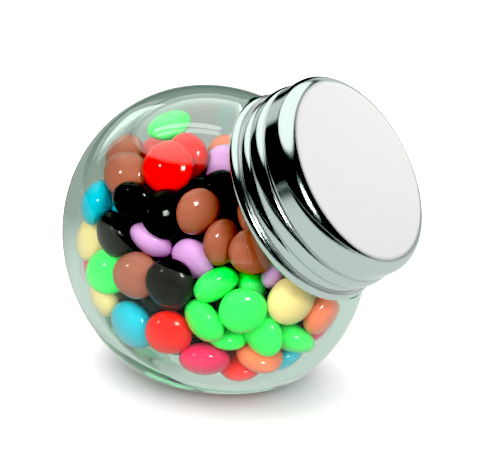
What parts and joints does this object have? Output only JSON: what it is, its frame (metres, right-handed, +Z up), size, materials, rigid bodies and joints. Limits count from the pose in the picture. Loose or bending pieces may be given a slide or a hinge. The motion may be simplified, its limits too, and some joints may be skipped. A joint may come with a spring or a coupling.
{
  "type": "tilted glass jar of chocolate lentils",
  "caption": "Small clear glass jar with a flat base and a tilted neck, shut by a shiny metal screw lid and filled with sugar-coated chocolate lentils in mixed colours.",
  "frame": {"origin": "middle of the flat base that the jar stands on", "axes": "+X towards the lid, along the longest side; +Y to the back, across the squashed depth; +Z up"},
  "size_m": [0.0766, 0.0528, 0.0656],
  "materials": {
    "glass": "clear, smooth",
    "lid_metal": "bright polished sheet metal",
    "sugar_shell": "glossy sugar shell in mixed colours"
  },
  "bodies": {
    "root": {"jar": "glass", "lid": "lid_metal", "candies": "sugar_shell"}
  },
  "joints": []
}
